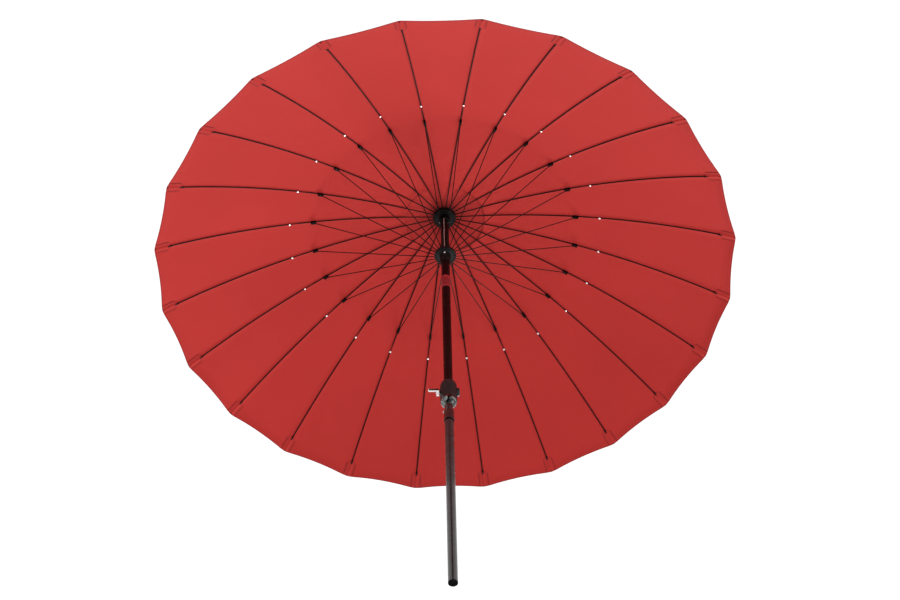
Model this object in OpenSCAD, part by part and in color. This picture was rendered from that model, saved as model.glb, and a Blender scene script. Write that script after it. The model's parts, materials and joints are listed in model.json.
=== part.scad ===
// Round garden parasol with a crank, a tilt joint and a pole in two parts.
// The origin is the centre of the pole's foot, +Z is up and the crank is on -X.
// The ribs lie half a gore either side of the X and Y axes.

/* [Canopy] */
// Distance from the pole's axis to a corner of the canopy
canopy_r = 1310; // [1200:5:1330]
// Height of the canopy's corners
hem_z = 1940; // [1935:1:1950]
// Bending radius of the fabric's rib line and of the ribs
rib_bend_r = 3050; // [3000:10:3400]
// How far the hem curves in between two corners
scallop = 8; // [2:1:20]
// Radius of the air vent's opening
vent_r = 187; // [170:1:200]
// Radius of the cap over the air vent
vent_cap_r = 240; // [225:1:260]
// Thickness of the fabric
fabric_t = 1.2; // [1:0.1:1.5]

/* [Ribs and struts] */
// Diameter of a rib
rib_d = 5; // [4.4:0.1:5.4]
// Diameter of a strut
strut_d = 4; // [3.4:0.1:4]
// Distance from the pole's axis to the strut's bracket on the rib
bracket_r = 612; // [580:1:640]
// Distance from the pole's axis to the rivet on the rib
rivet_r = 720; // [690:1:760]

/* [Hub and runner] */
// Radius of the top hub
hub_r = 53; // [52:0.5:56]
// Radius of the circle of rib pivots
rib_pivot_r = 46; // [45:0.5:47]
// Height of the rib pivots
rib_pivot_z = 2388; // [2386:1:2390]
// Radius of the runner's disc
runner_r = 49.5; // [48:0.5:52]
// Radius of the circle of strut pivots
strut_pivot_r = 42; // [41:0.5:43]
// Height of the strut pivots with the canopy open
strut_pivot_z = 2085; // [2080:1:2088]

/* [Pole and tilt] */
// Outer diameter of both poles
pole_d = 38; // [37:0.5:38]
// Wall thickness of both poles
pole_wall = 1.5; // [1.2:0.1:1.8]
// Height of the tilt joint's pivot
tilt_z = 1050; // [1048:1:1052]
// Radius of the yoke round the tilt joint
yoke_r = 35; // [34.5:0.5:35.5]

/* [Crank] */
// Height of the crank's shaft
crank_z = 1107; // [1106:1:1108]
// Radius of the crank's throw
crank_throw = 62; // [50:1:66]
// Direction of the crank's arm, from straight down towards -Y
crank_angle = 50; // [0:1:90]

/* [Hidden] */
$fn = 96;
ribs = 24;
pitch = 360 / ribs;
function two(i) = str(i < 10 ? "0" : "", i);
function rib_name(i) = str("rib_", two(i));
function strut_name(i) = str("strut_", two(i));
function azimuth(i) = pitch * (i - 0.5);

// fits and gaps
fit = 0.05;
clear = 0.3;
eps = 0.01;

// poles
pole_r = pole_d / 2;
pole_bore_r = pole_r - pole_wall;
lower_pole_top = 965;
pole_step_z = 918;
pole_step_r = 18.6;
upper_pole_z = 1150;
upper_pole_top = 2395;
plug_flange = 3;

// tilt joint
collar_z = 925;
collar_r = 22;
collar_top = 980;
gasket_r = 21;
gasket_h = 5;
neck_r = 18.5;
neck_z = 993;
neck_top = 1012;
tongue_half = 13;
tongue_y = 16;
tongue_r = 24;
tilt_pin_r = 5;
tilt_max = 35;
button_r = 6;
button_z = 983;
button_x = -25;
button_travel = 4;

// crank housing
housing_r = 36;
housing_z = 1058;
dome_z = 1132;
housing_top = 1169;
flutes = 28;
flute_r = 1.6;
shaft_r = 5;
cap_r = 18;
cap_x = 47;
cap_round = 6;
boss_x = 38.5;
room_r = 25;
room_low = crank_z - 20;
room_h = 51;
arm_x = -51;
arm_t = 11;
arm_w = 12;
arm_hub_r = 15;
arm_end_r = 8;
spindle_r = 3;
spindle_x = -85;
grip_r = 7.5;
grip_x = -83.5;
grip_l = 31.5;
spool_r = 13.1;
spool_flange_r = 16;
spool_half = 14;

// ribs: an arc in the plane of the rib, through its pivot and its tip
rib_r = rib_d / 2;
tip_r = canopy_r - 8;
chord = norm([tip_r - rib_pivot_r, rib_pivot_z - hem_z]);
chord_a = atan2(rib_pivot_z - hem_z, tip_r - rib_pivot_r);
arc_depth = sqrt(pow(rib_bend_r, 2) - pow(chord / 2, 2));
arc_x = (rib_pivot_r + tip_r) / 2 - arc_depth * sin(chord_a);
arc_z = (rib_pivot_z + hem_z) / 2 - arc_depth * cos(chord_a);
function rib_z(r) = arc_z + sqrt(pow(rib_bend_r, 2) - pow(r - arc_x, 2));
function rib_slope(r) = asin((r - arc_x) / rib_bend_r);
pin_r = 1.25;
blade_t = 3;
blade_h = 4.8;
blade_l = 18;
eye_r = 4;
drop = 9;
bracket_w = 10;
bracket_l = 25;
slot_w = strut_d + 2 * clear;
strut_pin_r = 1.5;
tip_cap_r = 2.9;
tip_cap_l = 18;
joint = [
    bracket_r - drop * sin(rib_slope(bracket_r)),
    rib_z(bracket_r) - drop * cos(rib_slope(bracket_r))
];
strut_l = norm(joint - [strut_pivot_r, strut_pivot_z]);
strut_a = atan2(joint[1] - strut_pivot_z, joint[0] - strut_pivot_r);

// fabric
fabric_gap = 0.8;
fabric_bend_r = rib_bend_r + rib_r + fabric_gap;
function fabric_z(r) = arc_z + sqrt(pow(fabric_bend_r, 2) - pow(r - arc_x, 2));
rings = 12;
strips = 4;
seam = 0.25;
cap_gap = 10;
strap_z = 1833;
strap_h = 77;
strap_t = 1.2;

// hub
hub_z = 2380;
hub_disc_top = 2404;
boss_r = 30;
hub_top = 2424;
rib_slot_w = blade_t + 2 * clear;
rib_slot_r = 40;
rib_slot_top = 2393.5;
hub_sleeve_r = 27;
hub_sleeve_z = 2352;
screw_r = 2.8;
screw_x = 23;
stud_r = 6;
knob_r = 16;
knob_z = 2458;

// runner
runner_bore_r = pole_r + 1.8;
runner_z = 2079;
runner_disc_top = 2093;
runner_top = 2101;
sleeve_r = 26.5;
sleeve_end_r = 22.2;
sleeve_z = 2027;
strut_slot_r = 36.5;

// lift cord
cord_r = 1.5;
cord_x = -3;
cord_in_y = 14.6;
cord_out_y = -24;
cord_arc_z = 2397;
cord_end_z = 2088;
cord_arc_r = (cord_in_y - cord_out_y) / 2;
cord_arc_y = (cord_in_y + cord_out_y) / 2;
tunnel_r = 2;

// Lower pole, reduced at its top where it enters the collar
module lower_pole() {
    color("#33262a")
    rotate_extrude()
    polygon([
        [pole_bore_r, plug_flange], [pole_r, plug_flange], [pole_r, pole_step_z],
        [pole_step_r, pole_step_z], [pole_step_r, lower_pole_top],
        [pole_bore_r, lower_pole_top]
    ]);
}

module foot_plug() {
    color("#141414") {
        cylinder(r = pole_r, h = plug_flange);
        translate([0, 0, plug_flange - eps]) cylinder(r = pole_bore_r - fit, h = 27);
    }
}

// Collar over the lower pole, with the neck and the tongue that carries the tilt pin
module tilt_base() {
    color("#2b2224")
    difference() {
        union() {
            rotate_extrude()
            polygon([
                [0, collar_z - gasket_h], [gasket_r, collar_z - gasket_h],
                [gasket_r, collar_z], [collar_r - 1, collar_z], [collar_r, collar_z + 1],
                [collar_r, collar_top], [neck_r, neck_z], [neck_r, neck_top], [0, neck_top]
            ]);
            translate([-tongue_half, -tongue_y, neck_top - eps])
            cube([2 * tongue_half, 2 * tongue_y, tilt_z - neck_top]);
            translate([-tongue_half, 0, tilt_z])
            rotate([0, 90, 0])
            cylinder(r = tongue_r, h = 2 * tongue_half);
        }
        translate([0, 0, pole_step_z])
        cylinder(r = pole_step_r + fit, h = lower_pole_top - pole_step_z);
        translate([-tongue_half - 1, 0, tilt_z])
        rotate([0, 90, 0])
        cylinder(r = tilt_pin_r + fit, h = 2 * tongue_half + 2);
        translate([button_x - 5, 0, button_z])
        rotate([0, 90, 0])
        cylinder(r = button_r + fit, h = 24 + button_travel);
    }
}

module tilt_button() {
    color("silver")
    translate([button_x, 0, button_z])
    rotate([0, 90, 0]) {
        translate([0, 0, 1]) cylinder(r = button_r, h = 14);
        cylinder(r1 = button_r - 1, r2 = button_r, h = 1 + eps);
    }
}

// Room for the tongue of the tilt joint, which swings towards +Y as the canopy tilts
module tongue_slot() {
    half = tongue_half + clear;
    wall = tongue_y + clear;
    reach = 60;
    function swung(y, z) = [
        y * cos(tilt_max) - z * sin(tilt_max),
        y * sin(tilt_max) + z * cos(tilt_max)
    ];
    translate([0, 0, tilt_z]) {
        rotate([0, 90, 0]) cylinder(r = tongue_r + clear, h = 2 * half, center = true);
        translate([-half, 0, 0])
        rotate([90, 0, 90])
        linear_extrude(2 * half)
        polygon([
            [-wall, 0], [-wall, -reach], [reach, -reach],
            swung(wall, -reach), swung(wall, 0)
        ]);
    }
}

// Solid of the housing's body: fluted sides under a dome that closes on the pole
module fluted_body() {
    difference() {
        rotate_extrude()
        polygon(concat(
            [[0, housing_z], [housing_r - 1, housing_z], [housing_r, housing_z + 1]],
            [for (a = [0:15:90]) [
                pole_r + 1 + (housing_r - pole_r - 1) * cos(a),
                dome_z + (housing_top - dome_z) * sin(a)
            ]],
            [[0, housing_top]]
        ));
        for (i = [0:flutes - 1])
            rotate([0, 0, 360 / flutes * (i + 0.5)])
            translate([housing_r + 0.4, 0, housing_z + 6])
            cylinder(r = flute_r, h = dome_z - housing_z - 4, $fn = 24);
    }
}

// Crank housing over the yoke of the tilt joint, with its side cap, boss and tilt pin
module housing() {
    color("#2e2729")
    difference() {
        union() {
            fluted_body();
            translate([0, 0, tilt_z]) sphere(r = yoke_r);
            translate([0, 0, crank_z])
            rotate([0, 90, 0])
            rotate_extrude()
            polygon(concat(
                [[0, housing_r - 6], [cap_r, housing_r - 6]],
                [for (a = [0:15:90]) [
                    cap_r - cap_round + cap_round * cos(a),
                    cap_x - cap_round + cap_round * sin(a)
                ]],
                [[0, cap_x]]
            ));
            translate([-boss_x, 0, crank_z])
            rotate([0, 90, 0])
            cylinder(r = 11, h = boss_x - housing_r + 4);
        }
        tongue_slot();
        // room for the spool, its shaft and the upper pole
        translate([0, 0, room_low]) cylinder(r = room_r, h = room_h);
        translate([0, 0, room_low + room_h - 1]) cylinder(r = pole_bore_r, h = 20);
        translate([0, 0, upper_pole_z]) cylinder(r = pole_r + fit, h = 50);
        translate([-boss_x - 1, 0, crank_z])
        rotate([0, 90, 0])
        cylinder(r = shaft_r + fit, h = boss_x + cap_x - 2);
    }
    color("silver")
    translate([-tongue_half - clear - 6, 0, tilt_z])
    rotate([0, 90, 0])
    cylinder(r = tilt_pin_r, h = 2 * (tongue_half + clear + 6));
}

module upper_pole() {
    color("#1c1112")
    translate([0, 0, upper_pole_z])
    difference() {
        cylinder(r = pole_r, h = upper_pole_top - upper_pole_z);
        translate([0, 0, -1]) cylinder(r = pole_bore_r, h = upper_pole_top - upper_pole_z + 2);
    }
}

module crank_frame() {
    translate([0, 0, crank_z]) rotate([-crank_angle, 0, 0]) children();
}

// Spool and shaft inside the housing, with the arm and the spindle of the grip outside
module crank() {
    shaft_x = arm_x - 2;
    color("#d8d8d6")
    crank_frame() {
        rotate([0, 90, 0]) {
            translate([0, 0, shaft_x]) cylinder(r = shaft_r, h = cap_x - 4 - shaft_x);
            translate([0, 0, -spool_half]) cylinder(r = spool_r, h = 2 * spool_half);
            for (x = [-spool_half - 2, spool_half])
                translate([0, 0, x]) cylinder(r = spool_flange_r, h = 2);
        }
        // the arm runs from the shaft to the grip's spindle
        translate([arm_x, 0, 0]) rotate([0, 90, 0]) cylinder(r = arm_hub_r, h = arm_t);
        translate([arm_x, 0, -crank_throw]) rotate([0, 90, 0]) cylinder(r = arm_end_r, h = arm_t);
        translate([arm_x, -arm_w / 2, -crank_throw]) cube([arm_t, arm_w, crank_throw]);
        translate([spindle_x, 0, -crank_throw])
        rotate([0, 90, 0])
        cylinder(r = spindle_r, h = arm_x - spindle_x + 2);
    }
}

// The grip turns on the spindle of the arm
module crank_grip() {
    color("#e6e6e4")
    crank_frame()
    translate([grip_x, 0, -crank_throw])
    rotate([0, 90, 0])
    difference() {
        union() {
            translate([0, 0, 2]) cylinder(r = grip_r, h = grip_l - 2);
            cylinder(r1 = grip_r - 2, r2 = grip_r, h = 2 + eps);
        }
        translate([0, 0, -1]) cylinder(r = spindle_r + fit, h = grip_l + 2);
    }
}

// Hub with a slot and a pivot for each rib, the cord's tunnel, two screws and the top knob
module top_hub() {
    color("#161616")
    difference() {
        union() {
            rotate_extrude()
            polygon([
                [0, hub_sleeve_z], [hub_sleeve_r - 1, hub_sleeve_z],
                [hub_sleeve_r, hub_sleeve_z + 1], [hub_sleeve_r, hub_z],
                [hub_r - 1, hub_z], [hub_r, hub_z + 1], [hub_r, hub_disc_top - 4],
                [hub_r - 4, hub_disc_top], [boss_r, hub_disc_top], [boss_r, hub_top - 1],
                [boss_r - 1, hub_top], [0, hub_top]
            ]);
            for (x = [-screw_x, screw_x])
                translate([x, 0, hub_sleeve_z - 2]) cylinder(r = screw_r, h = 3);
        }
        translate([0, 0, hub_sleeve_z - 1])
        cylinder(r = pole_r + fit, h = upper_pole_top - hub_sleeve_z + 1);
        for (i = [1:ribs])
            rotate([0, 0, azimuth(i)]) {
                translate([rib_slot_r, -rib_slot_w / 2, hub_z - 1])
                cube([20, rib_slot_w, rib_slot_top - hub_z + 1]);
                translate([rib_pivot_r, 0, rib_pivot_z])
                rotate([90, 0, 0])
                cylinder(r = pin_r + fit, h = 8, center = true, $fn = 32);
            }
        cord_path(tunnel_r, 3, cord_arc_z - hub_sleeve_z + 1);
    }
    color("#1a1a1a") {
        translate([0, 0, hub_top - eps]) cylinder(r = stud_r, h = 4);
        translate([0, 0, hub_top + 2]) cylinder(r = 24, h = 3);
        translate([0, 0, hub_top + 5 - eps]) cylinder(r1 = 22, r2 = 9, h = 14);
        translate([0, 0, knob_z]) sphere(r = knob_r);
    }
}

// Runner: a slotted disc on a sleeve, which slides on the upper pole
module runner() {
    color("#202020")
    difference() {
        rotate_extrude()
        polygon([
            [runner_bore_r, sleeve_z], [sleeve_end_r, sleeve_z], [sleeve_r, runner_z - 8],
            [sleeve_r, runner_z], [runner_r - 1, runner_z], [runner_r, runner_z + 1],
            [runner_r, runner_disc_top - 1], [runner_r - 1, runner_disc_top],
            [33, runner_disc_top], [31, runner_top], [runner_bore_r, runner_top]
        ]);
        for (i = [1:ribs])
            rotate([0, 0, azimuth(i)])
            translate([strut_slot_r, -slot_w / 2, runner_z - 1])
            cube([20, slot_w, runner_top - runner_z + 2]);
        translate([cord_x, cord_out_y, cord_end_z - 1]) cylinder(r = tunnel_r, h = 30);
    }
}

// The cord's way over the hub: up inside the pole, over an arc and down outside it
module cord_path(r, up, down) {
    translate([cord_x, cord_arc_y, cord_arc_z])
    rotate([90, 0, 90])
    rotate_extrude(angle = 180)
    translate([cord_arc_r, 0])
    circle(r = r, $fn = 32);
    translate([cord_x, cord_in_y, cord_arc_z - up]) cylinder(r = r, h = up, $fn = 32);
    translate([cord_x, cord_out_y, cord_arc_z - down]) cylinder(r = r, h = down, $fn = 32);
}

module lift_cord() {
    color("#c9a9a4")
    cord_path(cord_r, cord_arc_z - crank_z, cord_arc_z - cord_end_z);
}

// One gore between two ribs, with a hem that curves in between its corners
module gore() {
    slope_in = asin((vent_r - arc_x) / fabric_bend_r);
    slope_out = asin((canopy_r - arc_x) / fabric_bend_r);
    cols = strips + 1;
    function ring_r(i) = arc_x + fabric_bend_r * sin(slope_in + (slope_out - slope_in) * i / rings);
    function inset(i, u) = i == rings ? scallop * (1 - u * u) : 0;
    function grid(lift) = [
        for (i = [0:rings])
            for (k = [0:strips])
                let (
                    u = 2 * k / strips - 1,
                    r = ring_r(i),
                    x = r * cos(pitch / 2) - inset(i, u),
                    y = u * (r * sin(pitch / 2) - seam)
                )
                [x, y, fabric_z(r) + inset(i, u) * tan(rib_slope(r)) + lift]
    ];
    top = cols * (rings + 1);
    function at(i, k) = i * cols + k;
    cells = [
        for (i = [0:rings - 1])
            for (k = [0:strips - 1])
                [at(i, k), at(i + 1, k), at(i + 1, k + 1), at(i, k + 1)]
    ];
    rim = concat(
        [for (k = [0:strips - 1]) [at(0, k), at(0, k + 1)]],
        [for (i = [0:rings - 1]) [at(i, strips), at(i + 1, strips)]],
        [for (k = [strips:-1:1]) [at(rings, k), at(rings, k - 1)]],
        [for (i = [rings:-1:1]) [at(i, 0), at(i - 1, 0)]]
    );
    // each four-sided face is split into two triangles
    quads = concat(
        cells,
        [for (c = cells) [c[3] + top, c[2] + top, c[1] + top, c[0] + top]],
        [for (e = rim) [e[0], e[1], e[1] + top, e[0] + top]]
    );
    polyhedron(
        points = concat(grid(0), grid(fabric_t)),
        faces = concat(
            [for (q = quads) [q[0], q[1], q[2]]],
            [for (q = quads) [q[0], q[2], q[3]]]
        )
    );
}

// Twenty-four gores, the cap over the air vent and the tie strap round the upper pole
module canopy() {
    color("#b03034") {
        for (i = [1:ribs]) rotate([0, 0, azimuth(i) + pitch / 2]) gore();
        cap_z = fabric_z(vent_cap_r) + cap_gap;
        rotate_extrude()
        polygon([
            [stud_r + 0.5, hub_top], [boss_r + 1, hub_top], [vent_cap_r, cap_z],
            [vent_cap_r, cap_z + fabric_t], [boss_r + 1, hub_top + fabric_t],
            [stud_r + 0.5, hub_top + fabric_t]
        ]);
        translate([0, 0, strap_z])
        difference() {
            cylinder(r = pole_r + fit + strap_t, h = strap_h);
            translate([0, 0, -1]) cylinder(r = pole_r + fit, h = strap_h + 2);
        }
    }
}

// Puts children at a point of the rib's arc, with +X along the rib
module on_rib(r) {
    translate([r, 0, rib_z(r)]) rotate([0, rib_slope(r), 0]) children();
}

// One rib in the XZ plane: blade and pivot, bent rod, bracket with the strut's pin, rivet
module rib() {
    rod_start = rib_pivot_r + blade_l - 6;
    color("#1d1516") {
        translate([arc_x, 0, arc_z])
        rotate([90, 0, 0])
        rotate([0, 0, 90 - rib_slope(tip_r)])
        rotate_extrude(angle = rib_slope(tip_r) - rib_slope(rod_start))
        translate([rib_bend_r, 0])
        circle(r = rib_r, $fn = 32);
        on_rib(tip_r)
        translate([1, 0, 0])
        rotate([0, -90, 0])
        cylinder(r = tip_cap_r, h = tip_cap_l, $fn = 48);
        on_rib(rib_pivot_r) {
            rotate([90, 0, 0]) cylinder(r = eye_r, h = blade_t, center = true, $fn = 48);
            rotate([90, 0, 0]) cylinder(r = pin_r, h = 7.4, center = true, $fn = 32);
            translate([0, -blade_t / 2, -blade_h / 2]) cube([blade_l, blade_t, blade_h]);
        }
        on_rib(bracket_r) {
            difference() {
                translate([-bracket_l / 2, -bracket_w / 2, -drop - 4])
                cube([bracket_l, bracket_w, drop + 4 + rib_r - 0.2]);
                translate([-bracket_l, -slot_w / 2, -drop - 10])
                cube([2 * bracket_l, slot_w, drop + 10 - rib_r - 1]);
            }
            translate([0, 0, -drop])
            rotate([90, 0, 0])
            cylinder(r = strut_pin_r, h = bracket_w, center = true, $fn = 32);
        }
    }
    color("silver")
    on_rib(rivet_r)
    translate([0, 0, -rib_r - 1.2])
    cylinder(r = 3.5, h = rib_r + 1.2, $fn = 32);
}

// One strut in the XZ plane, with an eye at the runner and an eye on the rib's pin
module strut() {
    color("#1a1a1a")
    translate([strut_pivot_r, 0, strut_pivot_z])
    rotate([0, -strut_a, 0])
    difference() {
        union() {
            rotate([0, 90, 0]) cylinder(r = strut_d / 2, h = strut_l, $fn = 32);
            for (x = [0, strut_l])
                translate([x, 0, 0])
                rotate([90, 0, 0])
                cylinder(r = eye_r, h = strut_d, center = true, $fn = 48);
        }
        for (x = [0, strut_l])
            translate([x, 0, 0])
            rotate([90, 0, 0])
            cylinder(r = strut_pin_r + fit, h = 20, center = true, $fn = 32);
    }
}

lower_pole();
foot_plug();
tilt_base();
tilt_button();
housing();
upper_pole();
crank();
crank_grip();
top_hub();
runner();
canopy();
lift_cord();
for (i = [1:ribs])
    rotate([0, 0, azimuth(i)]) rib();
for (i = [1:ribs])
    rotate([0, 0, azimuth(i)]) strut();
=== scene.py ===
import json
import math

import bmesh
import bpy
import numpy as np
from mathutils import Matrix, Vector, noise


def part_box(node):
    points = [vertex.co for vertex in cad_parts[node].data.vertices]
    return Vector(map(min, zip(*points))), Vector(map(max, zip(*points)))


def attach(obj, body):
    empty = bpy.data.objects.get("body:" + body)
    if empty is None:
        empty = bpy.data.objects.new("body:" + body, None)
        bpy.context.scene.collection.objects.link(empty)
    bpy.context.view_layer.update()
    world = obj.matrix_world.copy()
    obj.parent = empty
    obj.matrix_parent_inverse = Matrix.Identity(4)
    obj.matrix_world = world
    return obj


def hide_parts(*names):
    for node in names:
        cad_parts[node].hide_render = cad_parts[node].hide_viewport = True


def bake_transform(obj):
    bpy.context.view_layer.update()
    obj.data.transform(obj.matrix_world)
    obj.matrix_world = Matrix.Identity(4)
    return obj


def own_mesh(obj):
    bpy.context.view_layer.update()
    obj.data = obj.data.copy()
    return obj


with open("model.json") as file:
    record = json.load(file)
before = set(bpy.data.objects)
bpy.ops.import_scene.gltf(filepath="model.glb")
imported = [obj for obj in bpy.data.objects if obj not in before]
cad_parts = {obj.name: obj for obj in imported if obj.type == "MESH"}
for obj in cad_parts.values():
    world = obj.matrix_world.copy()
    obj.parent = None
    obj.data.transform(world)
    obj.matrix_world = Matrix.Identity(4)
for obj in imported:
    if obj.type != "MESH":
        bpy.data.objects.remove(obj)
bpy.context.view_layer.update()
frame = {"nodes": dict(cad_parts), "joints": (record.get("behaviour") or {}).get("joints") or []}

# ---------------------------------------------------------------- sizes, in metres

JOINTS = {j["name"]: j for j in frame["joints"]}
RIBS = sum(1 for name in frame["nodes"] if name.startswith("rib_"))
PITCH = 2 * math.pi / RIBS
HALF = PITCH / 2

# ribs: an arc through the pivot and the tip
RIB_BEND_R = 3.050
HEM_Z = 1.940
CANOPY_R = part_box("canopy")[1].x / math.cos(HALF)
TIP_R = CANOPY_R - 0.008
PIVOT_X, PIVOT_Y, PIVOT_Z = JOINTS["rib_hinge_01"]["pos_m"]
PIVOT_R = math.hypot(PIVOT_X, PIVOT_Y)
ROD_R = 0.0025
CHORD = math.hypot(TIP_R - PIVOT_R, PIVOT_Z - HEM_Z)
CHORD_TILT = math.atan2(PIVOT_Z - HEM_Z, TIP_R - PIVOT_R)
ARC_DEPTH = math.sqrt(RIB_BEND_R**2 - (CHORD / 2) ** 2)
ARC_X = (PIVOT_R + TIP_R) / 2 - ARC_DEPTH * math.sin(CHORD_TILT)
ARC_Z = (PIVOT_Z + HEM_Z) / 2 - ARC_DEPTH * math.cos(CHORD_TILT)
RIVET_R = 0.720
BRACKET_R = 0.612
BRACKET_DROP = 0.009
BRACKET_HALF = 0.005

# cloth
CLOTH_LIFT = ROD_R + 0.0008
CLOTH_T = 0.0008
SCALLOP = 0.008
CORNER_CUT = 0.0027
CORNER_W = 0.024
HEM_FADE = 0.150
HEM_W = 0.018
EDGE_W = 0.0055
SEAM_W = 0.0065
STEP_W = 0.0007
HEM_T = 0.0006
EDGE_T = 0.0004
SEAM_T = 0.00045
VENT_R = 0.187
CAP_R = 0.240
CAP_IN_R = 0.031
CAP_GAP = 0.006
CAP_CROWN = -0.009
CAP_HEM_W = 0.012
CAP_TOP_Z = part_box("canopy")[1].z - 0.0012
POCKET_W = 0.047
POCKET_L = 0.062
POCKET_ROUND = 0.012
POCKET_BULGE = 0.0056
POCKET_BULGE_W = 0.0065
POCKET_END_GAP = 0.002
POCKET_STITCH_INSETS = (0.002, 0.0055)
STITCH_R = 0.00042
DASH_PITCH = 0.0044
DASH_LENGTH = 0.0031

STRAP_H = 0.077

# crank housing and collar
YOKE_TOP_Z = 1.0578
COLLAR_Z = 0.9252

# ---------------------------------------------------------------- shapes


def arc_z(r, lift=0.0):
    """Height of the rib's arc, or of a line that much above it, at a distance from the pole's axis."""
    return ARC_Z + math.sqrt((RIB_BEND_R + lift) ** 2 - (r - ARC_X) ** 2)


def arc_slope(r):
    """Angle of the rib's arc below the horizontal."""
    return math.asin((r - ARC_X) / RIB_BEND_R)


def azimuth(i):
    """Direction of a rib, seen from the pole."""
    return PITCH * (i - 0.5)


def on_rib(i, r, lift=0.0):
    """Place on a rib: X runs outwards along it, Y across it and Z out of the canopy."""
    return (
        Matrix.Rotation(azimuth(i), 4, "Z")
        @ Matrix.Translation((r, 0, arc_z(r)))
        @ Matrix.Rotation(arc_slope(r), 4, "Y")
        @ Matrix.Translation((0, 0, lift))
    )


def ease(x, low, high):
    """0 below low, 1 above high and a smooth rise in between."""
    t = min(1.0, max(0.0, (x - low) / (high - low)))
    return t * t * (3 - 2 * t)


class Shape:
    """Points, faces, material numbers and cloth coordinates of one piece."""

    def __init__(self):
        self.points, self.faces, self.paints, self.maps = [], [], [], []

    def add(self, points, faces, paint=0, maps=None):
        """Adds points and the faces between them, which count the new points from 0."""
        start = len(self.points)
        self.points += [tuple(p) for p in points]
        self.faces += [tuple(start + k for k in face) for face in faces]
        self.paints += [paint] * len(faces)
        self.maps += list(maps) if maps else [(0.0, 0.0)] * len(points)

    def slab(self, under, over, paint=0, maps=None):
        """A thin closed solid between two grids of points."""
        rows, cols = len(under), len(under[0])
        count = rows * cols
        cells = [
            (i * cols + k, i * cols + k + 1, (i + 1) * cols + k + 1, (i + 1) * cols + k)
            for i in range(rows - 1)
            for k in range(cols - 1)
        ]
        rim = (
            list(range(cols))
            + [i * cols + cols - 1 for i in range(1, rows)]
            + [(rows - 1) * cols + k for k in range(cols - 2, -1, -1)]
            + [i * cols for i in range(rows - 2, 0, -1)]
        )
        faces = cells + [tuple(k + count for k in reversed(c)) for c in cells]
        faces += [(a, a + count, b + count, b) for a, b in zip(rim, rim[1:] + rim[:1])]
        flat = [p for row in under for p in row] + [p for row in over for p in row]
        self.add(flat, faces, paint, [m for row in maps for m in row] * 2 if maps else None)

    def lathe(self, profile, place, sides, paint=0):
        """Turns (radius, height) points round the Z axis of place."""
        points, rings = [], []
        for r, z in profile:
            turns = sides if r > 0 else 1
            rings.append([len(points) + k for k in range(turns)])
            for k in range(turns):
                a = 2 * math.pi * k / turns
                points.append(place @ Vector((r * math.cos(a), r * math.sin(a), z)))
        faces = []
        for a, b in zip(rings, rings[1:]):
            for k in range(sides):
                n = (k + 1) % sides
                face = [a[k % len(a)], a[n % len(a)], b[n % len(b)], b[k % len(b)]]
                faces.append(tuple(dict.fromkeys(face)))
        self.add(points, [f for f in faces if len(f) > 2], paint)

    def tube(self, path, radius, sides):
        """A capped tube along a path. The radius is a number, or a function of (path index, angle)."""
        path = [Vector(p) for p in path]
        size = radius if callable(radius) else lambda k, a: radius
        end = len(path) - 1
        ahead = [(path[min(k + 1, end)] - path[max(k - 1, 0)]).normalized() for k in range(end + 1)]
        across = ahead[0].orthogonal().normalized()
        points = []
        for k, (p, t) in enumerate(zip(path, ahead)):
            across = (across - t * across.dot(t)).normalized()
            other = t.cross(across)
            for s in range(sides):
                a = 2 * math.pi * s / sides
                points.append(p + (across * math.cos(a) + other * math.sin(a)) * size(k, a))
        faces = []
        for k in range(end):
            low, high = k * sides, (k + 1) * sides
            for s in range(sides):
                n = (s + 1) % sides
                faces.append((low + s, low + n, high + n, high + s))
        faces += [tuple(range(sides)), tuple(end * sides + s for s in range(sides))]
        self.add(points, faces)

    def make(self, name, materials, angle):
        """The piece as an object. Edges sharper than the angle, in degrees, stay sharp."""
        mesh = bpy.data.meshes.new(name)
        mesh.from_pydata(self.points, [], self.faces)
        mesh.polygons.foreach_set("material_index", self.paints)
        mesh.polygons.foreach_set("use_smooth", [True] * len(self.faces))
        if any(m != (0.0, 0.0) for m in self.maps):
            corners = np.zeros(len(mesh.loops), np.int32)
            mesh.loops.foreach_get("vertex_index", corners)
            layer = mesh.uv_layers.new(name="cloth")
            layer.data.foreach_set("uv", np.array(self.maps, np.float32)[corners].ravel())
        work = bmesh.new()
        work.from_mesh(mesh)
        bmesh.ops.recalc_face_normals(work, faces=work.faces)
        work.to_mesh(mesh)
        work.free()
        mesh.set_sharp_from_angle(angle=math.radians(angle))
        for material in materials:
            mesh.materials.append(material)
        piece = bpy.data.objects.new(name, mesh)
        bpy.context.scene.collection.objects.link(piece)
        return piece


# ---------------------------------------------------------------- materials

# the part of a noise's range that is spread out, and the sockets of a colour mix
NOISE_LOW, NOISE_HIGH = 0.35, 0.65
MIX_A, MIX_B = 6, 7

# cloth: thread pitch of the weave, stitches, and where the painted shade along the vent's edge starts on the
# map
THREAD_PITCH = 0.00055
STITCH_HALF_WIDTH = 0.0005
STITCH_PITCH = 0.0046
STITCH_SHARE = 0.66
VENT_SHADE_WIDTH = 0.006
VENT_SHADE_START = (CANOPY_R - VENT_R - VENT_SHADE_WIDTH) / math.cos(arc_slope(VENT_R + VENT_SHADE_WIDTH))
MAP_SHIFT = 0.05


def add_node(tree, kind, inputs=None, **settings):
    """A shader node. An input is a constant or another node's output."""
    node = tree.nodes.new("ShaderNode" + kind)
    for key, value in settings.items():
        setattr(node, key, value)
    for key, value in (inputs or {}).items():
        if isinstance(value, bpy.types.NodeSocket):
            tree.links.new(value, node.inputs[key])
        else:
            node.inputs[key].default_value = value
    return node


def calc(tree, operation, a, b=0.0):
    """Output of a math node."""
    return add_node(tree, "Math", {0: a, 1: b}, operation=operation).outputs[0]


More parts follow.
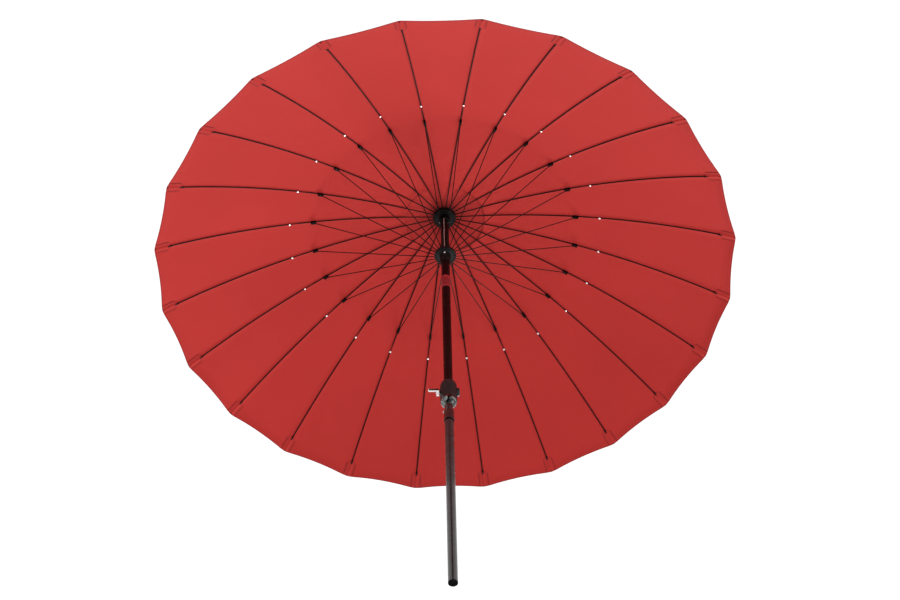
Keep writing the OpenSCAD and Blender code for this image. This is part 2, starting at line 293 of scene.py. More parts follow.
def new_material(name, **values):
    """A material whose constant values sit on the shader's own sockets."""
    material = bpy.data.materials.new(name)
    material.use_nodes = True
    tree = material.node_tree
    shader = tree.nodes["Principled BSDF"]
    for key, value in values.items():
        shader.inputs[key.replace("_", " ").title().replace("Ior", "IOR")].default_value = value
    return material, tree, shader


def object_place(tree):
    """Coordinates of the point in its own piece."""
    return add_node(tree, "TexCoord").outputs["Object"]


def cloud(tree, where, scale, detail):
    """Output of a noise node."""
    return add_node(tree, "TexNoise", {"Vector": where, "Scale": scale, "Detail": detail}).outputs["Fac"]


def remap(tree, value, from_min, from_max, to_min=0.0, to_max=1.0):
    """Output of a map range node."""
    ranges = {"From Min": from_min, "From Max": from_max, "To Min": to_min, "To Max": to_max}
    return add_node(tree, "MapRange", {"Value": value, **ranges}).outputs[0]


def shade_noise(tree, shader, dark, light, scale, where):
    """Mottles the base colour between two tones."""
    spread = remap(tree, cloud(tree, where, scale, 4.0), NOISE_LOW, NOISE_HIGH)
    mix = add_node(tree, "Mix", data_type="RGBA")
    tree.links.new(spread, mix.inputs["Factor"])
    mix.inputs[MIX_A].default_value = (*dark, 1)
    mix.inputs[MIX_B].default_value = (*light, 1)
    colour = next(s for s in mix.outputs if s.type == "RGBA")
    tree.links.new(colour, shader.inputs["Base Color"])


def rough_noise(tree, shader, low, high, scale, where):
    """Varies the roughness between two values."""
    spread = remap(tree, cloud(tree, where, scale, 3.0), NOISE_LOW, NOISE_HIGH, low, high)
    tree.links.new(spread, shader.inputs["Roughness"])


def bump(tree, shader, height, distance):
    """Roughens the surface by a height."""
    node = add_node(tree, "Bump", {"Height": height, "Distance": distance, "Strength": 1.0})
    tree.links.new(node.outputs[0], shader.inputs["Normal"])


def hard_surface(name, dark, light, rough, grain, grain_scale=900.0, tone_scale=14.0, **values):
    """Paint, plastic or metal: tone and roughness vary a little, over a fine grain."""
    material, tree, shader = new_material(name, **values)
    where = object_place(tree)
    shade_noise(tree, shader, dark, light, tone_scale, where)
    rough_noise(tree, shader, rough - 0.05, rough + 0.06, 45.0, where)
    bump(tree, shader, cloud(tree, where, grain_scale, 2.0), grain)
    return material


def stitch_row(tree, across, along, at):
    """1 on the thread of a row of stitches that lies at a distance from the cloth's edge."""
    off = calc(tree, "ABSOLUTE", calc(tree, "SUBTRACT", across, at))
    near = calc(tree, "LESS_THAN", off, STITCH_HALF_WIDTH)
    phase = calc(tree, "FRACT", calc(tree, "DIVIDE", along, STITCH_PITCH))
    return calc(tree, "MULTIPLY", near, calc(tree, "LESS_THAN", phase, STITCH_SHARE))


def cloth_material(name, red, rows=True, border=None):
    """Woven polyester. The map's U is the distance from the seam, V the distance from the hem's edge.

    A border is (map axis, its middle, where the border starts, change of tone).
    """
    material, tree, shader = new_material(
        name, roughness=0.82, sheen_weight=0.03, sheen_roughness=0.5, specular_ior_level=0.1
    )
    spot = add_node(tree, "SeparateXYZ", {0: add_node(tree, "UVMap", uv_map="cloth").outputs[0]})
    where = object_place(tree)

    def scaled(value, factor):
        return calc(tree, "MULTIPLY", value, factor)

    u, v = spot.outputs[0], spot.outputs[1]
    warp = calc(tree, "SINE", scaled(u, math.pi / THREAD_PITCH))
    weft = calc(tree, "SINE", scaled(v, math.pi / THREAD_PITCH))
    slub = cloud(tree, where, 160.0, 3.0)
    tone = calc(tree, "ADD", scaled(cloud(tree, where, 2.2, 5.0), 0.16), 0.88)
    tone = calc(tree, "ADD", tone, scaled(slub, 0.08))
    height = scaled(scaled(warp, weft), 0.00004)
    height = calc(tree, "ADD", height, scaled(slub, 0.00015))
    if rows:
        hem = calc(tree, "LESS_THAN", v, HEM_W)
        edge = calc(tree, "LESS_THAN", v, EDGE_W)
        seam = calc(tree, "LESS_THAN", u, SEAM_W)
        tone = calc(tree, "SUBTRACT", tone, scaled(seam, 0.06))
        tone = calc(tree, "SUBTRACT", tone, scaled(edge, 0.30))
        height = calc(tree, "ADD", height, scaled(hem, 0.0002))
        crumple = calc(tree, "SUBTRACT", cloud(tree, where, 15.0, 3.0), 0.5)
        inside = remap(tree, v, 0.70, 1.05, 0.0, 0.012)
        height = calc(tree, "ADD", height, scaled(crumple, inside))
        # painted shade: patchy dark arcs on the cloth within 6 mm of the vent's edge, where it tucks under the
        # cap
        vent = calc(tree, "GREATER_THAN", v, VENT_SHADE_START)
        vent_shade_patches = remap(tree, cloud(tree, where, 7.0, 2.0), 0.45, 0.55)
        tone = calc(tree, "SUBTRACT", tone, scaled(scaled(vent, vent_shade_patches), 0.4))
        thread_on = stitch_row(tree, v, u, HEM_W - 0.003)
        thread_on = calc(tree, "MAXIMUM", thread_on, stitch_row(tree, u, v, SEAM_W - 0.0018))
        tone = calc(tree, "SUBTRACT", tone, scaled(thread_on, 0.18))
        height = calc(tree, "ADD", height, scaled(thread_on, 0.0003))
    if border:
        axis, middle, start, change = border
        off = calc(tree, "ABSOLUTE", calc(tree, "SUBTRACT", spot.outputs[axis], middle))
        beyond = calc(tree, "GREATER_THAN", off, start)
        tone = calc(tree, "ADD", tone, scaled(beyond, change))
    paint = add_node(tree, "VectorMath", {0: red}, operation="SCALE")
    tree.links.new(tone, paint.inputs["Scale"])
    tree.links.new(paint.outputs[0], shader.inputs["Base Color"])
    bump(tree, shader, height, 1.0)
    return material


def cord_material(name, dark, light, rough=0.8):
    """Twisted or braided thread."""
    material, tree, shader = new_material(name)
    where = object_place(tree)
    shade_noise(tree, shader, dark, light, 700.0, where)
    rough_noise(tree, shader, rough - 0.08, rough + 0.08, 300.0, where)
    bump(tree, shader, cloud(tree, where, 2500.0, 2.0), 0.0002)
    return material


def floor_material():
    """Pale from above, and clear from below, so that the view from under the floor is open."""
    material, tree, shader = new_material("floor_pale", roughness=0.9)
    shade_noise(tree, shader, (0.80, 0.80, 0.80), (0.81, 0.81, 0.81), 0.4, object_place(tree))
    shader.inputs["Specular IOR Level"].default_value = 0.0
    below = add_node(tree, "NewGeometry").outputs["Backfacing"]
    clear = add_node(tree, "BsdfTransparent")
    mix = add_node(tree, "MixShader", {0: below, 1: shader.outputs[0], 2: clear.outputs[0]})
    tree.links.new(mix.outputs[0], tree.nodes["Material Output"].inputs["Surface"])
    return material


RED = (0.395, 0.0272, 0.0238)
POCKET_RED = tuple(0.95 * c for c in RED)
STRAP_RED = (0.25, 0.017, 0.020)
POCKET_BORDER = (0, MAP_SHIFT, POCKET_W / 2 - 0.003, -0.5)
# painted highlight: the strap's top and bottom 5 mm are made much lighter, standing in for light caught by its
# rolled edges
STRAP_EDGE_HIGHLIGHT = (1, MAP_SHIFT, STRAP_H / 2 - 0.005, 0.8)
CLOTH = cloth_material("canopy_polyester", RED)
POCKET_CLOTH = cloth_material("pocket_polyester", POCKET_RED, rows=False, border=POCKET_BORDER)
STRAP_CLOTH = cloth_material("strap_polyester", STRAP_RED, rows=False, border=STRAP_EDGE_HIGHLIGHT)
THREAD = cord_material("sewing_thread", (0.14, 0.007, 0.007), (0.20, 0.010, 0.009), 0.6)
CORD = cord_material("lift_cord_weave", (0.42, 0.30, 0.28), (0.62, 0.48, 0.45))
KNOT = cord_material("cord_knot", (0.78, 0.74, 0.70), (0.9, 0.87, 0.84))
ROD_BLACK = hard_surface(
    "rod_black",
    (0.0025, 0.0015, 0.0015),
    (0.004, 0.0025, 0.0025),
    0.5,
    0.00006,
    specular_ior_level=0.1,
)
POLE_DARK = hard_surface(
    "pole_black",
    (0.0035, 0.002, 0.002),
    (0.006, 0.003, 0.003),
    0.30,
    0.00003,
    specular_ior_level=0.2,
)
POLE_BRONZE = hard_surface(
    "pole_bronze",
    (0.014, 0.011, 0.0115),
    (0.020, 0.016, 0.017),
    0.3,
    0.00002,
    coat_weight=0.35,
    coat_roughness=0.06,
)
HUB_PLASTIC = hard_surface(
    "hub_plastic",
    (0.0015, 0.0015, 0.0015),
    (0.003, 0.003, 0.003),
    0.5,
    0.00012,
    specular_ior_level=0.15,
)
RUNNER_PLASTIC = hard_surface(
    "runner_plastic",
    (0.005, 0.005, 0.005),
    (0.009, 0.009, 0.009),
    0.50,
    0.00012,
    specular_ior_level=0.2,
)
HOUSING_PLASTIC = hard_surface(
    "housing_plastic",
    (0.010, 0.009, 0.009),
    (0.016, 0.014, 0.014),
    0.40,
    0.00006,
    specular_ior_level=0.3,
)
YOKE_METAL = hard_surface(
    "yoke_metal",
    (0.012, 0.013, 0.013),
    (0.22, 0.235, 0.23),
    0.16,
    0.0012,
    75.0,
    70.0,
    metallic=1.0,
)
COLLAR_PLASTIC = hard_surface(
    "collar_plastic",
    (0.012, 0.010, 0.010),
    (0.019, 0.016, 0.016),
    0.20,
    0.00003,
    coat_weight=0.6,
    coat_roughness=0.1,
)
GASKET = hard_surface(
    "gasket_black",
    (0.001, 0.001, 0.001),
    (0.002, 0.002, 0.002),
    0.6,
    0.0001,
    specular_ior_level=0.05,
)
PLUG_RUBBER = hard_surface("plug_rubber", (0.004, 0.004, 0.004), (0.008, 0.008, 0.008), 0.62, 0.0002)
CHROME = hard_surface("chrome", (0.84, 0.84, 0.83), (0.90, 0.90, 0.89), 0.09, 0.000005, metallic=1.0)
GRIP_METAL = hard_surface("grip_metal", (0.82, 0.82, 0.81), (0.90, 0.90, 0.89), 0.11, 0.00001, metallic=1.0)
STEEL = hard_surface("steel", (0.86, 0.86, 0.86), (0.94, 0.94, 0.94), 0.34, 0.00002, metallic=1.0)
ZINC = hard_surface("zinc_screw", (0.48, 0.48, 0.48), (0.62, 0.62, 0.62), 0.36, 0.00003, metallic=1.0)


def paint_frame():
    """Gives every CAD node its material."""
    looks = {
        "lower_pole": POLE_BRONZE,
        "upper_pole": POLE_DARK,
        "foot_plug": PLUG_RUBBER,
        "tilt_base": COLLAR_PLASTIC,
        "tilt_button": ZINC,
        "housing": HOUSING_PLASTIC,
        "crank": CHROME,
        "crank_grip": GRIP_METAL,
        "top_hub": HUB_PLASTIC,
        "runner": RUNNER_PLASTIC,
        "lift_cord": CORD,
        "canopy": CLOTH,
    }
    for name, node in frame["nodes"].items():
        node.data.materials.clear()
        node.data.materials.append(looks.get(name, ROD_BLACK))
    paint_below("housing", YOKE_METAL, YOKE_TOP_Z)
    paint_below("tilt_base", GASKET, COLLAR_Z)


def paint_below(name, material, height):
    """Gives the faces of a CAD node that lie under a height their own material."""
    mesh = frame["nodes"][name].data
    mesh.materials.append(material)
    for face in mesh.polygons:
        if face.center.z < height:
            face.material_index = 1


# ---------------------------------------------------------------- canopy


def hem_inset(r, t, half_width):
    """How far the hem lies inside the straight line between two corners, at a distance t from the rib."""
    from_middle = 1 - t / half_width
    curve = SCALLOP * (1 - from_middle**2)
    corner = CORNER_CUT * max(0.0, 1 - t / CORNER_W) ** 2
    return (curve + corner) * ease(r, CANOPY_R - HEM_FADE, CANOPY_R)


def wrinkle(x, y, r, t, half_width):
    """Slack of the stretched cloth: soft creases by the vent, small puckers by the seams."""
    free = ease(t, 0.002, 0.020)
    spoke = noise.noise(Vector((x * 9, y * 9, 0.3))) + 0.8 * noise.noise(Vector((x * 23, y * 23, 1.9)))
    crease = 0.0048 * spoke * (1 - ease(r, VENT_R + 0.03, VENT_R + 0.36))
    swell = 0.0014 * noise.noise(Vector((x * 4, y * 4, 7.1)))
    pucker = 0.0005 * noise.noise(Vector((x * 40, y * 40, 3.7))) * (1 - ease(t, 0.012, 0.05))
    return free * (crease + swell + pucker) * ease(r, VENT_R, VENT_R + 0.03)


def cloth_point(i, side, t, r):
    """A point of the cloth's underside, at a distance t from rib i, on the side that is +1 or -1."""
    half_width = r * math.sin(HALF)
    inset = hem_inset(r, t, half_width)
    x, y = r * math.cos(HALF) - inset, half_width - t
    middle = azimuth(i) + side * HALF
    c, s = math.cos(middle), math.sin(middle)
    px, py = x * c + side * y * s, x * s - side * y * c
    z = arc_z(r, CLOTH_LIFT) + inset * math.tan(arc_slope(r))
    return Vector((px, py, z + wrinkle(px, py, r, t, half_width)))


def cloth_thickening(r, t):
    """Extra thickness under the cloth: the seam along the rib and the hem with its bound edge."""
    to_edge = CANOPY_R - r
    to_vent = r - VENT_R
    seam = SEAM_T * (1 - ease(t, SEAM_W, SEAM_W + STEP_W))
    hem = HEM_T * (1 - ease(min(to_edge, to_vent), HEM_W - STEP_W, HEM_W))
    edge = EDGE_T * (1 - ease(to_edge, EDGE_W - STEP_W, EDGE_W)) * ease(to_edge, -0.0006, 0.0012)
    return seam + (hem + edge) * ease(t, 0.003, 0.008)


def spaced(low, high, count):
    """Numbers from low to high in equal steps."""
    return [low + (high - low) * k / count for k in range(count + 1)]


def half_gore(i, side):
    """Half of a gore, from the seam at rib i to the middle between two ribs."""
    radii = [VENT_R, VENT_R + HEM_W - STEP_W, *spaced(VENT_R + HEM_W, CANOPY_R - HEM_W, 36)]
    radii += [CANOPY_R - d for d in (HEM_W - STEP_W, EDGE_W, EDGE_W - STEP_W, 0.0012, 0)]
    under, over, maps = [], [], []
    for r in radii:
        half_width = r * math.sin(HALF)
        steps = [0, 0.003, SEAM_W, *spaced(SEAM_W + STEP_W, half_width, 7)]
        row = [cloth_point(i, side, t, r) for t in steps]
        under.append([p - Vector((0, 0, cloth_thickening(r, t))) for p, t in zip(row, steps)])
        over.append([p + Vector((0, 0, CLOTH_T)) for p in row])
        to_edge = (CANOPY_R - r) / math.cos(arc_slope(r))
        maps.append([(t + 1e-5, to_edge) for t in steps])
    shape = Shape()
    shape.slab(under, over, 0, maps)
    piece = shape.make(f"canopy_{i:02d}_{'left' if side > 0 else 'right'}", [CLOTH], 50)
    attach(piece, f"rib_{i:02d}")
    fold_cloth(piece)
    return piece


def fold_cloth(piece):
    """Gives the piece its own copy of its mesh."""
    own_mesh(piece)


def pocket_lift(t, s, length):
    """How far the pocket's outer face lies under the cloth: it bulges over the rib's tip."""
    closed = 1 - 0.55 * ease(s, length - 0.010, length)
    return 0.0015 + POCKET_BULGE * math.exp(-((t / POCKET_BULGE_W) ** 2)) * closed


def pocket_half_width(s):
    """Half the pocket's width at a distance from its rounded inner end."""
    if s >= POCKET_ROUND:
        return POCKET_W / 2
    return POCKET_W / 2 - POCKET_ROUND + math.sqrt(POCKET_ROUND**2 - (POCKET_ROUND - s) ** 2)


def pocket_point(i, t, s, depth=0.0):
    """A point of the pocket, at a distance t across from its rib and s along from its inner end."""
    r = CANOPY_R - POCKET_L + s
    foot = cloth_point(i, 1 if t >= 0 else -1, abs(t), r)
    normal = on_rib(i, r).to_3x3() @ Vector((0, 0, 1))
    return foot - normal * (pocket_lift(t, s, POCKET_L) - depth)


def stitch(shape, a, b, up):
    """One stitch: a short thread that dips into the cloth at both ends."""
    radius = STITCH_R
    along = b - a
    side = along.cross(up).normalized()
    ring = [side * math.cos(w) + up * math.sin(w) for w in spaced(0, 2 * math.pi, 5)[:-1]]
    points = [a - up * radius]
    points += [a + along * 0.2 + v * radius for v in ring]
    points += [a + along * 0.8 + v * radius for v in ring]
    points.append(b - up * radius)
    faces = [(0, 1 + (k + 1) % 5, 1 + k) for k in range(5)]
    faces += [(1 + k, 1 + (k + 1) % 5, 6 + (k + 1) % 5, 6 + k) for k in range(5)]
    faces += [(11, 6 + k, 6 + (k + 1) % 5) for k in range(5)]
    shape.add(points, faces, 1)


def pocket(i):
    """The pocket that holds a rib's tip, with two rows of stitches along its sides."""
    columns = [-1 + k / 10 for k in range(21)]
    rows = [POCKET_ROUND * (1 - math.cos(a)) for a in spaced(0.18, math.pi / 2, 5)]
    rows += spaced(POCKET_ROUND, POCKET_L - POCKET_END_GAP, 9)[1:]
    under = [[pocket_point(i, c * pocket_half_width(s), s) for c in columns] for s in rows]
    over = [[pocket_point(i, c * pocket_half_width(s), s, CLOTH_T) for c in columns] for s in rows]
    maps = [[(c * pocket_half_width(s) + MAP_SHIFT, s) for c in columns] for s in rows]
    shape = Shape()
    shape.slab(under, over, 0, maps)
    up = on_rib(i, TIP_R).to_3x3() @ Vector((0, 0, -1))
    for inset in POCKET_STITCH_INSETS:
        reach = POCKET_W / 2 - inset
        turn = POCKET_ROUND - inset
        path = [(-reach, POCKET_L - 0.004), (-reach, POCKET_ROUND)]
        for a in spaced(0, math.pi / 2, 4)[1:]:
            path.append((-reach + turn * (1 - math.cos(a)), POCKET_ROUND - turn * math.sin(a)))
        path += [(-t, s) for t, s in reversed(path)]
        for a, b in dashes(path, DASH_PITCH, DASH_LENGTH):
            stitch(shape, pocket_point(i, *a), pocket_point(i, *b), up)
    piece = shape.make(f"pocket_{i:02d}", [POCKET_CLOTH, THREAD], 45)
    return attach(piece, f"rib_{i:02d}")


def dashes(path, pitch, length):
    """Pairs of points for stitches along a path of (t, s) points."""
    corners = [Vector((*p, 0)) for p in path]
    lengths = [0.0]
    for a, b in zip(corners, corners[1:]):
        lengths.append(lengths[-1] + (b - a).length)

    def at(distance):
        k = max(n for n in range(len(lengths)) if lengths[n] <= distance + 1e-9)
        k = min(k, len(corners) - 2)
        share = (distance - lengths[k]) / max(lengths[k + 1] - lengths[k], 1e-9)
        return tuple(corners[k].lerp(corners[k + 1], share))[:2]

    count = int((lengths[-1] - length) / pitch)
    return [(at(k * pitch), at(k * pitch + length)) for k in range(count + 1)]


def cap_point(r, a):
    """Distance and height of a point of the vent cap: a low cone that hangs in between the hub and its rim."""
    low_z, high_z = arc_z(CAP_R, CLOTH_LIFT) + CAP_GAP, CAP_TOP_Z
    share = (r - CAP_IN_R) / (CAP_R - CAP_IN_R)
    z = high_z + (low_z - high_z) * share + CAP_CROWN * math.sin(math.pi * share)
    facet = math.cos(HALF) / math.cos(a)
    return r * facet, z


def cap_panel(i):
    """One panel of the cap over the air vent."""
    radii = [*spaced(CAP_IN_R, CAP_R - CAP_HEM_W, 15), CAP_R - CAP_HEM_W + STEP_W, CAP_R]
    angles = spaced(-HALF, HALF, 6)
    under, over, maps = [], [], []
    for r in radii:
        hem = HEM_T if r > CAP_R - CAP_HEM_W + STEP_W / 2 else 0.0
        low, high, marks = [], [], []
        for a in angles:
            x, z = cap_point(r, HALF - abs(a))
            turn = azimuth(i) + a
            px, py = x * math.cos(turn), x * math.sin(turn)
            ripple = 0.0022 * noise.noise(Vector((px * 24, py * 24, 5.5))) * ease(r, 0.05, 0.12)
            place = Vector((px, py, z + ripple))
            low.append(place - Vector((0, 0, hem)))
            high.append(place + Vector((0, 0, CLOTH_T)))
            marks.append(((HALF - abs(a)) * r + 0.02, CAP_R - r + 1e-5))
        under.append(low)
        over.append(high)
        maps.append(marks)
    shape = Shape()
    shape.slab(under, over, 0, maps)
    piece = shape.make(f"vent_cap_{i:02d}", [CLOTH], 50)
    z = under[0][0].z
    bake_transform(piece)


def tie_strap():
    """The strap that ties the folded canopy, wrapped round the upper pole."""
    low_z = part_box("canopy")[0].z
    high_z = low_z + STRAP_H
    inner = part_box("upper_pole")[1].x + 0.0001
    turns, steps = 1.22, 88
    start = math.radians(-150)
    under, over, maps = [], [], []
    for k in range(steps + 1):
        share = k / steps
        a = start + 2 * math.pi * turns * share
        rise = 0.0009 * ease(share * turns, 0.93, 1.03)
        sag = 0.0008 * math.sin(5 * a)
        low, high, marks = [], [], []
        for m, at in enumerate((0, 0.05, 0.07, 0.3, 0.5, 0.7, 0.93, 0.95, 1)):
            z = low_z + (high_z - low_z) * at + sag
            edge = 0.0006 if m in (0, 1, 7, 8) else 0.0
            r = inner + rise
            low.append(Vector((r * math.cos(a), r * math.sin(a), z)))
            r += 0.0006 + edge
            high.append(Vector((r * math.cos(a), r * math.sin(a), z)))
            marks.append((share * 0.15 + 0.01, (z - low_z) - STRAP_H / 2 + MAP_SHIFT))
        under.append(low)
        over.append(high)
        maps.append(marks)
    shape = Shape()
    shape.slab(under, over, 0, maps)
    out = Matrix.Translation((0.0, 0.0, high_z - 0.013)) @ Matrix.Rotation(math.pi / 2, 4, "X")
    snap_r = inner + 0.0005
    snap = [(0.0052, snap_r), (0.0052, snap_r + 0.0004), (0.0038, snap_r + 0.0009), (0, snap_r + 0.0009)]
    shape.lathe(snap, out, 24, 1)
    piece = shape.make("tie_strap", [STRAP_CLOTH, STEEL], 45)
    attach(piece, "upper")
    return piece


def canopy():
    """The cover with its pockets, the vent cap and the strap."""
    halves = [half_gore(i, side) for i in range(1, RIBS + 1) for side in (1, -1)]
    pockets = [pocket(i) for i in range(1, RIBS + 1)]
    for i in range(1, RIBS + 1):
        cap_panel(i)
    strap = tie_strap()
    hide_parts("canopy")


# ---------------------------------------------------------------- cord, ribs, hub and runner

CORD_LOW, CORD_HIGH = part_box("lift_cord")
CORD_R = 0.0015
CORD_X = (CORD_LOW.x + CORD_HIGH.x) / 2
CORD_OUT_Y = CORD_LOW.y + CORD_R
CORD_IN_Y = CORD_HIGH.y - CORD_R
CORD_ARC_R = (CORD_IN_Y - CORD_OUT_Y) / 2
CORD_ARC_Z = CORD_HIGH.z - CORD_ARC_R - CORD_R


# (radius, height) outlines of a rib's small parts
RIVET_PROFILE = [
    (0, -0.0030),
    (0.0050, -0.0030),
    (0.0050, -0.0038),
    (0.0044, -0.0046),
    (0.0030, -0.0053),
    (0, -0.0056),
]
SLEEVE_PROFILE = [
    (0, -0.0150),
    (0.0034, -0.0150),
    (0.0042, -0.0135),
    (0.0042, 0.0050),
    (0.0034, 0.0065),
    (0, 0.0065),
]
PIN_PROFILE = [(0, 0.0), (0.0022, 0.0), (0.0022, 0.0004), (0.0015, 0.0009), (0, 0.0011)]

# the hub's screws and the strut pivots' ring
SCREW_X = 0.023
SCREW_R = 0.0031
SCREW_H = 0.0030
SCREW_SIDES = 28
STRUT_PIVOT_R = 0.042
STRUT_PIVOT_Z = 2.085


def strand(k, a):
    """Radius of the twisted cord, which shows three strands."""
    return CORD_R * (0.84 + 0.16 * abs(math.cos(1.5 * (a - 0.62 * k))))


def lift_cord():
    """The cord from the runner up to the hub, over it and down inside the upper pole."""
    runner_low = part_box("runner")[1].z - 0.022
    drop = CORD_ARC_Z - runner_low
    outer = Shape()
    outer.tube([(CORD_X, CORD_OUT_Y, CORD_ARC_Z - drop * k / 330) for k in range(331)], strand, 14)
    piece = outer.make("lift_cord_outer", [CORD], 70)
    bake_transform(piece)
    inner = Shape()
    middle = (CORD_IN_Y + CORD_OUT_Y) / 2
    path = [
        (CORD_X, middle - CORD_ARC_R * math.cos(a), CORD_ARC_Z + CORD_ARC_R * math.sin(a))
        for a in spaced(0, math.pi, 40)
    ]
    path += [(CORD_X, CORD_IN_Y, z) for z in spaced(CORD_ARC_Z, CORD_LOW.z, 120)[1:]]
    inner.tube(path, CORD_R, 12)
    piece = inner.make("lift_cord_inner", [CORD], 70)
    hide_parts("lift_cord")
    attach(piece, "upper")


def cord_knot():
    """The knot that holds the lift cord under the runner's disc."""
    shape = Shape()
    size = 0.0021
    centre = Vector((CORD_X, CORD_OUT_Y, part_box("runner")[1].z - 0.0265))
    path = []
    for a in spaced(0, 2 * math.pi, 90):
        x = math.sin(a) + 2 * math.sin(2 * a)
        y = math.cos(a) - 2 * math.cos(2 * a)
        path.append(centre + size * Vector((x * 0.75, y * 0.75, -0.9 * math.sin(3 * a))))
    shape.tube(path, 0.0017, 10)
    piece = shape.make("cord_knot", [KNOT], 70)
    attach(piece, "runner")


def rib_trim(i):
    """A rib's round rivet head, the sleeve at its pocket and the pin heads of the strut's bracket."""
    shape = Shape()
    shape.lathe(RIVET_PROFILE, on_rib(i, RIVET_R), 28, 0)
    mouth = on_rib(i, CANOPY_R - POCKET_L) @ Matrix.Rotation(math.pi / 2, 4, "Y")
    shape.lathe(SLEEVE_PROFILE, mouth, 20, 1)
    for side in (1, -1):
        place = on_rib(i, BRACKET_R, -BRACKET_DROP) @ Matrix.Rotation(-side * math.pi / 2, 4, "X")
        shape.lathe(PIN_PROFILE, place @ Matrix.Translation((0, 0, BRACKET_HALF)), 20, 1)
    piece = shape.make(f"rib_rivets_{i:02d}", [STEEL, ROD_BLACK], 50)
    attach(piece, f"rib_{i:02d}")


def ring_wire(name, joint_r, z, body):
    """The wire ring that the pivots' eyes are threaded on."""
    shape = Shape()
    path = [(joint_r * math.cos(a), joint_r * math.sin(a), z) for a in spaced(0, 2 * math.pi, 96)]
    shape.tube(path, 0.0011, 10)
    piece = shape.make(name, [STEEL], 70)
    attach(piece, body)


def screw(shape, place, radius, height):
    """A pan-head screw with a cross recess."""
    top_r, depth = radius * 0.62, height * 0.55
    slot, arm = radius * 0.13, radius * 0.55
    edge = [(radius, 0), (radius, height * 0.35), (radius * 0.86, height * 0.78), (top_r, height)]
    shape.lathe([(0, 0), *edge], place, SCREW_SIDES)
    corners = []
    for k in range(4):
        a = math.pi / 2 * k
        for x, y in ((arm, -slot), (arm, slot), (slot, slot)):
            corners.append((x * math.cos(a) - y * math.sin(a), x * math.sin(a) + y * math.cos(a)))
    count = len(corners)
    rim = [(top_r * math.cos(a), top_r * math.sin(a)) for a in spaced(0, 2 * math.pi, SCREW_SIDES)[:-1]]
    points = [place @ Vector((*c, height)) for c in corners]
    points += [place @ Vector((*c, height - depth)) for c in corners]
    points += [place @ Vector((*c, height)) for c in rim]
    faces = [(k, (k + 1) % count, count + (k + 1) % count, count + k) for k in range(count)]
    faces.append(tuple(count + k for k in range(count)))
    near = [min(range(count), key=lambda c: math.dist(corners[c], p)) for p in rim]
    first = 2 * count
    for k in range(SCREW_SIDES):
        n = (k + 1) % SCREW_SIDES
        faces.append((first + k, first + n, near[k]))
        step = near[k]
        while step != near[n]:
            after = (step + 1) % count
            faces.append((first + n, after, step))
            step = after
    shape.add(points, faces)


def hub_screws():
    """The two screws in the hub's lower sleeve."""
    shape = Shape()
    hub_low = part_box("top_hub")[0].z
    for x in (-SCREW_X, SCREW_X):
        place = Matrix.Translation((x, 0, hub_low + 0.0022)) @ Matrix.Rotation(math.pi, 4, "X")
        screw(shape, place, SCREW_R, SCREW_H)
    piece = shape.make("hub_screws", [ZINC], 40)
    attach(piece, "upper")


# ---------------------------------------------------------------- stage

LENS_MM, SENSOR_MM = 77.36, 36.0
CAMERA_PLACE = (-0.01637, -5.15500, -5.10470)
CAMERA_TURN = (143.0546, 0.8969, 0.8317)
CLIP_START, CLIP_END = 0.05, 200.0
FLOOR_HALF = 30
SKY_STRENGTH = 1.1

# name, place, aim, size, power and spread in degrees
LIGHTS = [
    ("key", (1.3, 4.3, 1.0), (0, -0.3, 2.2), 2.2, 56, 90),
    ("fill", (0.6, -3.6, -3.4), (0, 0, 1.8), 3.0, 60, 180),
    ("side", (3.6, -0.8, -2.4), (0.3, 0, 2.1), 2.5, 75, 180),
]
FLAG_HALF = 1.2
FLAG_LINE = [(-0.5, 0.01), (-4.4, 0.01), (-2.6, 6.2)]


def camera():
    """The camera at the photograph's viewing angle."""
    data = bpy.data.cameras.new("camera")
    data.lens, data.sensor_width = LENS_MM, SENSOR_MM
    data.clip_start, data.clip_end = CLIP_START, CLIP_END
    view = bpy.data.objects.new("camera", data)
    view.location = CAMERA_PLACE
    view.rotation_euler = [math.radians(a) for a in CAMERA_TURN]
    bpy.context.scene.collection.objects.link(view)
    bpy.context.scene.camera = view


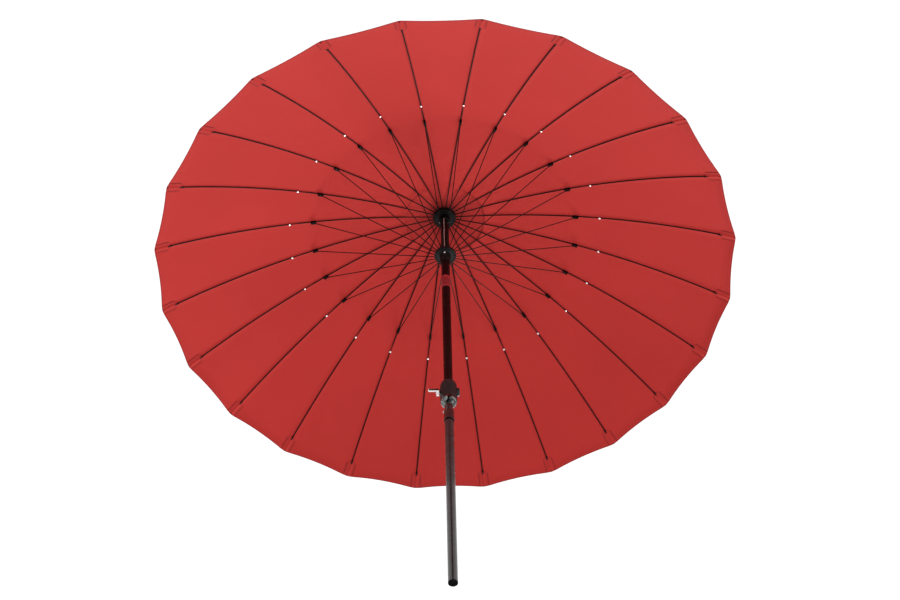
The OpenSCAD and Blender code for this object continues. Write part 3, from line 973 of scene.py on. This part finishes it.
def area_light(name, place, aim, size, power, spread):
    """A soft round lamp that the camera doesn't see."""
    data = bpy.data.lights.new(name, "AREA")
    data.shape, data.size = "DISK", size
    data.energy, data.spread = power, math.radians(spread)
    lamp = bpy.data.objects.new(name, data)
    lamp.location = place
    lamp.rotation_euler = (Vector(aim) - Vector(place)).to_track_quat("-Z", "Y").to_euler()
    lamp.visible_camera = False
    bpy.context.scene.collection.objects.link(lamp)


def flag(half_width, line):
    """A black card on the -Y side, bent along a line of (y, z) points. Only reflections show it."""
    mesh = bpy.data.meshes.new("flag")
    corners = [(side * half_width, y, z) for y, z in line for side in (-1, 1)]
    faces = [(2 * k, 2 * k + 1, 2 * k + 3, 2 * k + 2) for k in range(len(line) - 1)]
    mesh.from_pydata(corners, [], faces)
    material, tree, shader = new_material("flag_black", roughness=1.0, specular_ior_level=0.0)
    shade_noise(tree, shader, (0.002, 0.002, 0.002), (0.004, 0.004, 0.004), 3.0, object_place(tree))
    mesh.materials.append(material)
    card = bpy.data.objects.new("flag", mesh)
    card.visible_camera = False
    card.visible_shadow = False
    card.visible_diffuse = False
    bpy.context.scene.collection.objects.link(card)


def stage():
    """The floor, the sky's light, the lamps and the card."""
    mesh = bpy.data.meshes.new("floor")
    low, high = -FLOOR_HALF, FLOOR_HALF
    mesh.from_pydata([(low, low, 0), (high, low, 0), (high, high, 0), (low, high, 0)], [], [(0, 1, 2, 3)])
    mesh.materials.append(floor_material())
    floor = bpy.data.objects.new("floor", mesh)
    floor.visible_shadow = False
    bpy.context.scene.collection.objects.link(floor)
    world = bpy.data.worlds.new("studio")
    world.use_nodes = True
    sky = world.node_tree.nodes["Background"]
    sky.inputs["Color"].default_value = (1, 1, 1, 1)
    sky.inputs["Strength"].default_value = SKY_STRENGTH
    bpy.context.scene.world = world
    bpy.context.scene.view_settings.view_transform = "Standard"
    for light in LIGHTS:
        area_light(*light)
    flag(FLAG_HALF, FLAG_LINE)


paint_frame()
camera()
stage()
canopy()
lift_cord()
cord_knot()
for rib_number in range(1, RIBS + 1):
    rib_trim(rib_number)
ring_wire("hub_ring_wire", PIVOT_R, PIVOT_Z, "upper")
ring_wire("runner_ring_wire", STRUT_PIVOT_R, STRUT_PIVOT_Z, "runner")
hub_screws()
